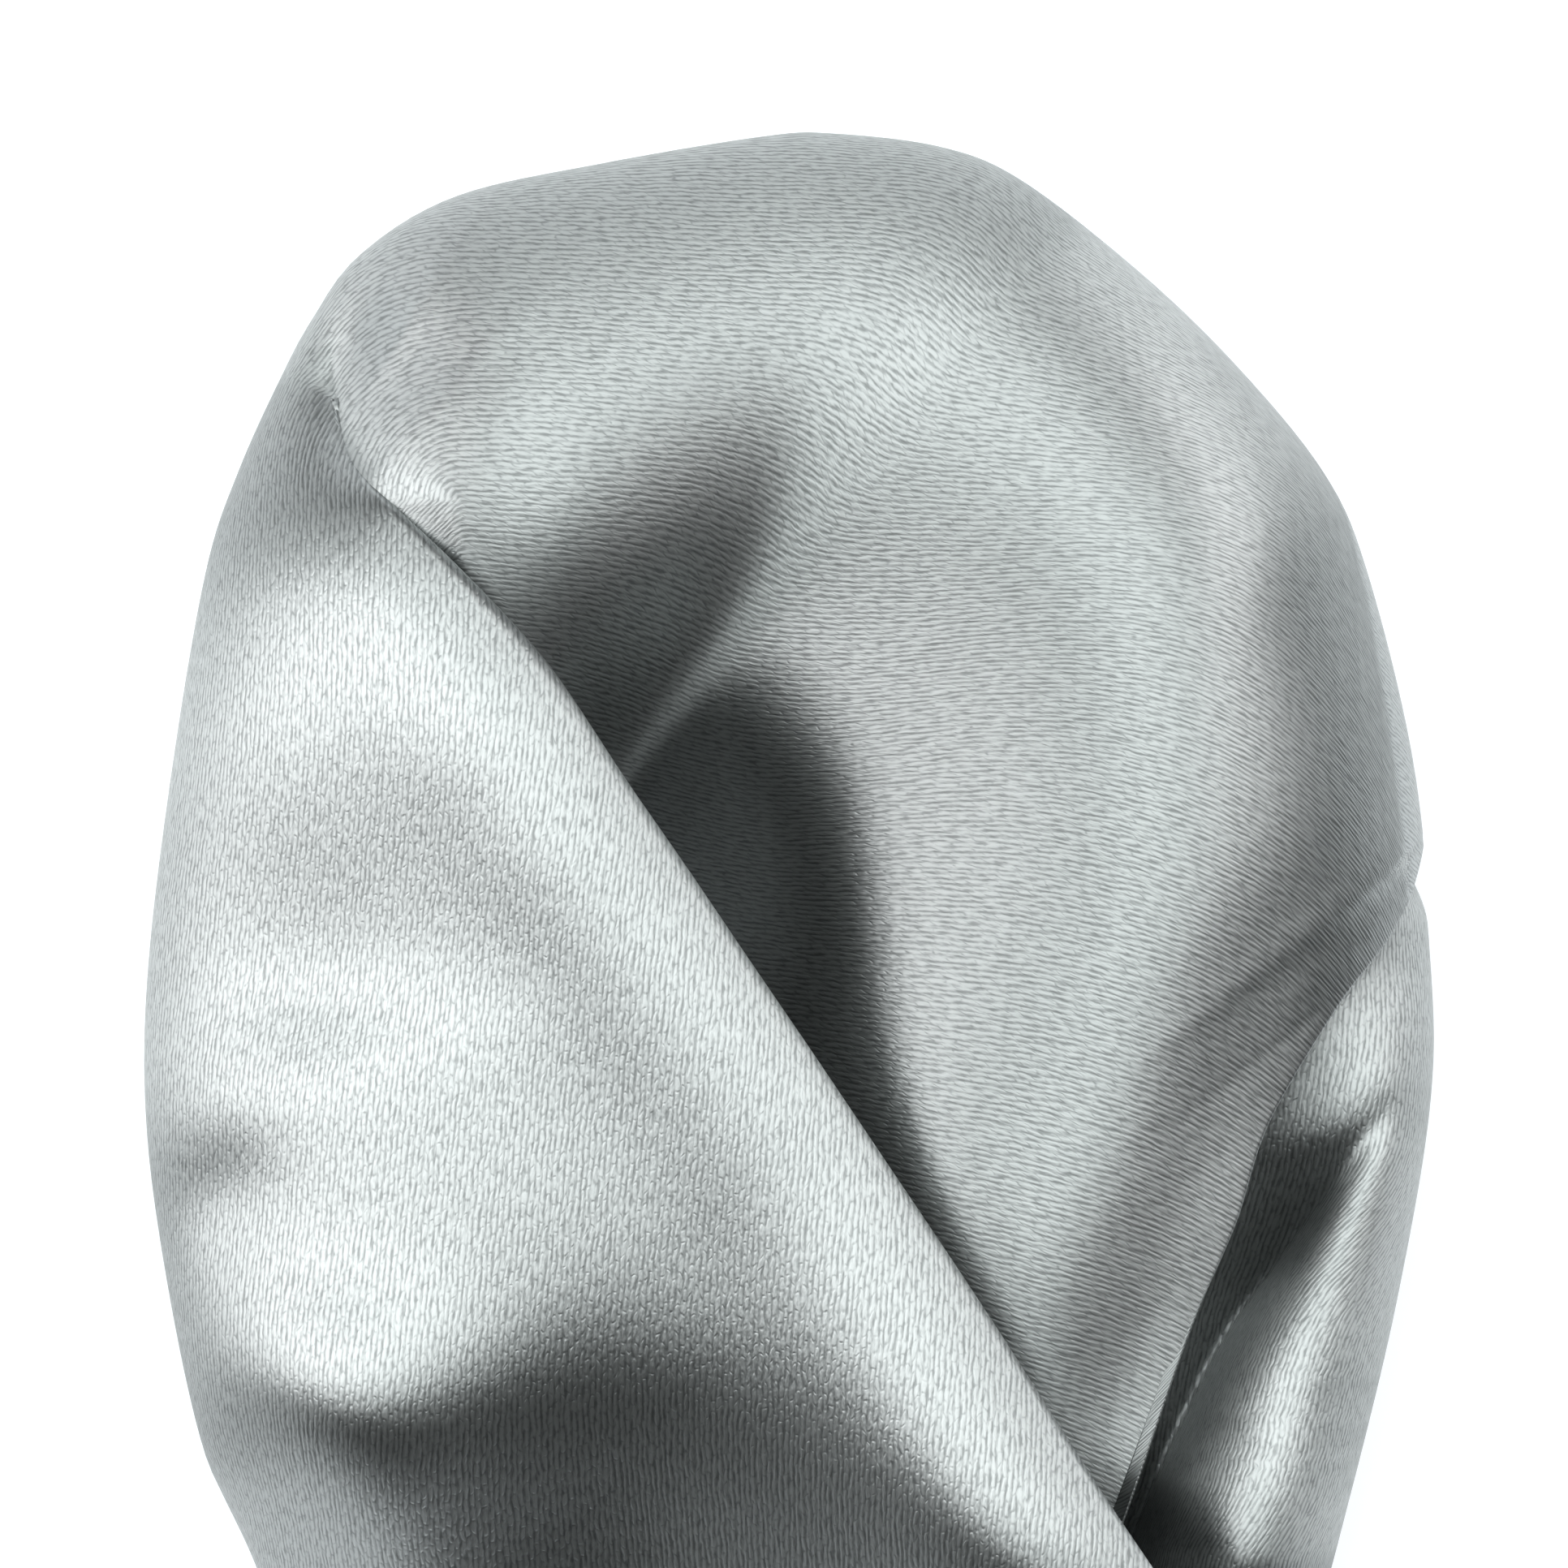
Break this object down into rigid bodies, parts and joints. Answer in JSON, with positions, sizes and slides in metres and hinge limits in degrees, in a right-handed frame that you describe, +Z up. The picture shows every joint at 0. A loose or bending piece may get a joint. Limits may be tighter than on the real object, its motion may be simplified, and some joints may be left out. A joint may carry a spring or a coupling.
{
  "type": "pocket square",
  "caption": "Satin pocket square in a puff fold, lying flat: a rolled wrap runs diagonally over a rounded puff, with side folds and tucked-in tails.",
  "frame": {"origin": "under the middle of the folded square, on the surface that it rests on", "axes": "+X to the right across the puff seen from above, +Y from the gathered neck to the rounded top, +Z up from the surface"},
  "size_m": [0.0852, 0.1249, 0.0332],
  "materials": {
    "satin": "silver-grey polyester satin with a fine ribbed weave",
    "satin_shade": "the same satin in the tucked layers"
  },
  "bodies": {
    "root": {"front_wrap": "satin", "back_puff": "satin", "side_folds": "satin", "tucked_layers": "satin_shade"}
  },
  "joints": []
}
